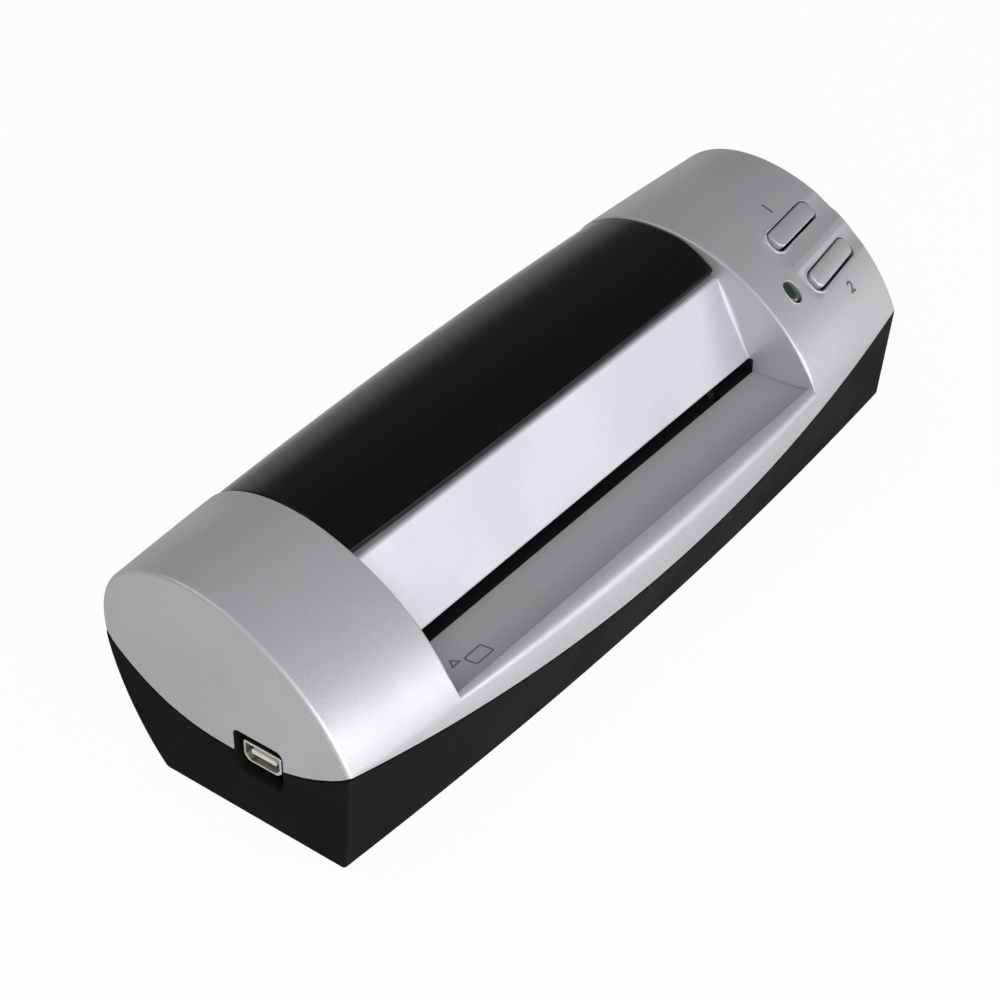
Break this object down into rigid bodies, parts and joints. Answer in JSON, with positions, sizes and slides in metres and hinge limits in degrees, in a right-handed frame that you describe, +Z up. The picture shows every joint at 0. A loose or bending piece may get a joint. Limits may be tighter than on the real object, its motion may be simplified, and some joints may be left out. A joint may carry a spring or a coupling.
{
  "type": "card scanner",
  "caption": "Desktop business card scanner: arched silver case on a black base, card tray and slot in front, rollers, gear train and image sensor inside, two buttons and a USB port.",
  "frame": {"origin": "centre of the footprint's bounding box, on the surface that the rubber feet stand on", "axes": "+X along the case from the USB end to the button end, -Y to the front where the card goes in, +Z up"},
  "size_m": [0.158, 0.0585, 0.0426],
  "materials": {
    "silver_plastic": "satin silver moulded plastic",
    "bright_silver_plastic": "very light satin silver plastic",
    "black_plastic": "fine matt black plastic",
    "gloss_black_plastic": "polished black plastic",
    "grey_plastic": "matt mid grey plastic",
    "inner_black_plastic": "matt black moulded plastic",
    "white_plastic": "off-white acetal plastic",
    "cable_plastic": "flat ribbon, white film",
    "board": "green circuit board",
    "steel": "plain steel",
    "zinc_steel": "zinc plated steel sheet",
    "spring_steel": "thin spring steel strip",
    "tin_plate": "tin plated sheet",
    "rubber": "dark rubber",
    "roller_rubber": "ground roller rubber",
    "green_lens": "dark green translucent plastic",
    "sensor_glass": "clear flat glass"
  },
  "bodies": {
    "housing": {"base_shell": "black_plastic", "top_shell": "silver_plastic", "top_panel": "gloss_black_plastic", "card_guide_plate": "bright_silver_plastic", "feed_tray": "grey_plastic", "upper_guide": "inner_black_plastic", "tact_switch_1": "inner_black_plastic", "tact_switch_2": "inner_black_plastic", "status_lens": "green_lens", "status_light": "green_lens", "button_board": "board", "usb_shell": "tin_plate", "usb_insulator": "inner_black_plastic", "main_board": "board", "controller_chip": "inner_black_plastic", "ribbon_cable": "cable_plastic", "sensor_cable": "cable_plastic", "image_sensor": "inner_black_plastic", "image_sensor_glass": "sensor_glass", "pressure_bar_spring": "spring_steel", "reduction_gear_pin": "steel", "motor_can": "zinc_steel", "motor_bracket": "zinc_steel", "card_sensor": "inner_black_plastic", "front_pinch_spring": "spring_steel", "front_bush_left": "white_plastic", "foot_front_left": "rubber", "case_screw_front_left": "steel", "front_bush_right": "white_plastic", "foot_front_right": "rubber", "case_screw_front_right": "steel", "rear_pinch_spring": "spring_steel", "rear_bush_left": "white_plastic", "foot_rear_left": "rubber", "case_screw_rear_left": "steel", "rear_bush_right": "white_plastic", "foot_rear_right": "rubber", "case_screw_rear_right": "steel"},
    "button_1": {"button_1": "silver_plastic"},
    "button_2": {"button_2": "silver_plastic"},
    "front_roller": {"front_drive_shaft": "steel", "front_drive_roller_left": "roller_rubber", "front_drive_roller_right": "roller_rubber", "front_drive_gear": "white_plastic"},
    "rear_roller": {"rear_drive_shaft": "steel", "rear_drive_roller_left": "roller_rubber", "rear_drive_roller_right": "roller_rubber", "rear_drive_gear": "white_plastic"},
    "idler": {"idler_gear": "white_plastic"},
    "reduction": {"reduction_gear": "white_plastic"},
    "pinion": {"motor_pinion": "white_plastic"},
    "front_pinch": {"front_pinch_axle": "steel"},
    "rear_pinch": {"rear_pinch_axle": "steel"},
    "front_pinch_rollers": {"front_pinch_roller_left": "white_plastic", "front_pinch_roller_right": "white_plastic"},
    "rear_pinch_rollers": {"rear_pinch_roller_left": "white_plastic", "rear_pinch_roller_right": "white_plastic"},
    "pressure_bar": {"pressure_bar": "white_plastic"},
    "card_lever": {"card_lever": "inner_black_plastic"}
  },
  "joints": [
    {"name": "button_1_press", "type": "slide", "parent": "housing", "child": "button_1", "axis": [0, 0.6157, -0.788], "range_m": [0, 0.0005], "stiffness_N_per_m": 1200},
    {"name": "button_2_press", "type": "slide", "parent": "housing", "child": "button_2", "axis": [0, 0.6157, -0.788], "range_m": [0, 0.0005], "stiffness_N_per_m": 1200},
    {"name": "front_roller_turn", "type": "hinge", "parent": "housing", "child": "front_roller", "pos_m": [0, -0.00566, 0.0164], "axis": [1, 0, 0], "continuous": true},
    {"name": "rear_roller_turn", "type": "hinge", "parent": "housing", "child": "rear_roller", "pos_m": [0, 0.01583, 0.0164], "axis": [1, 0, 0], "continuous": true},
    {"name": "idler_turn", "type": "hinge", "parent": "housing", "child": "idler", "pos_m": [0, 0.00509, 0.0164], "axis": [1, 0, 0], "continuous": true},
    {"name": "reduction_turn", "type": "hinge", "parent": "housing", "child": "reduction", "pos_m": [0, 0.00774, 0.02368], "axis": [1, 0, 0], "continuous": true},
    {"name": "pinion_turn", "type": "hinge", "parent": "housing", "child": "pinion", "pos_m": [0, 0.01014, 0.01142], "axis": [1, 0, 0], "continuous": true},
    {"name": "front_pinch_lift", "type": "slide", "parent": "housing", "child": "front_pinch", "axis": [0, 0, 1], "range_m": [0, 0.0005], "stiffness_N_per_m": 800, "deforming": ["front_pinch_spring"]},
    {"name": "front_pinch_turn", "type": "hinge", "parent": "front_pinch", "child": "front_pinch_rollers", "pos_m": [0, -0.00566, 0.0237], "axis": [1, 0, 0], "continuous": true},
    {"name": "rear_pinch_lift", "type": "slide", "parent": "housing", "child": "rear_pinch", "axis": [0, 0, 1], "range_m": [0, 0.0005], "stiffness_N_per_m": 800, "deforming": ["rear_pinch_spring"]},
    {"name": "rear_pinch_turn", "type": "hinge", "parent": "rear_pinch", "child": "rear_pinch_rollers", "pos_m": [0, 0.01583, 0.0237], "axis": [1, 0, 0], "continuous": true},
    {"name": "pressure_bar_lift", "type": "slide", "parent": "housing", "child": "pressure_bar", "axis": [0, 0, 1], "range_m": [0, 0.0005], "stiffness_N_per_m": 600, "deforming": ["pressure_bar_spring"]},
    {"name": "card_lever_tip", "type": "hinge", "parent": "housing", "child": "card_lever", "pos_m": [0.03601, -0.01406, 0.0154], "axis": [-1, 0, 0], "range_deg": [0, 20], "stiffness_Nm_per_rad": 0.0006}
  ],
  "couplings": [
    {"joint": "rear_roller_turn", "follows": "front_roller_turn", "ratio": 1},
    {"joint": "idler_turn", "follows": "front_roller_turn", "ratio": -1.2632},
    {"joint": "reduction_turn", "follows": "front_roller_turn", "ratio": 2},
    {"joint": "pinion_turn", "follows": "front_roller_turn", "ratio": -8},
    {"joint": "front_pinch_turn", "follows": "front_roller_turn", "ratio": -1.4979},
    {"joint": "rear_pinch_turn", "follows": "front_roller_turn", "ratio": -1.4979}
  ]
}
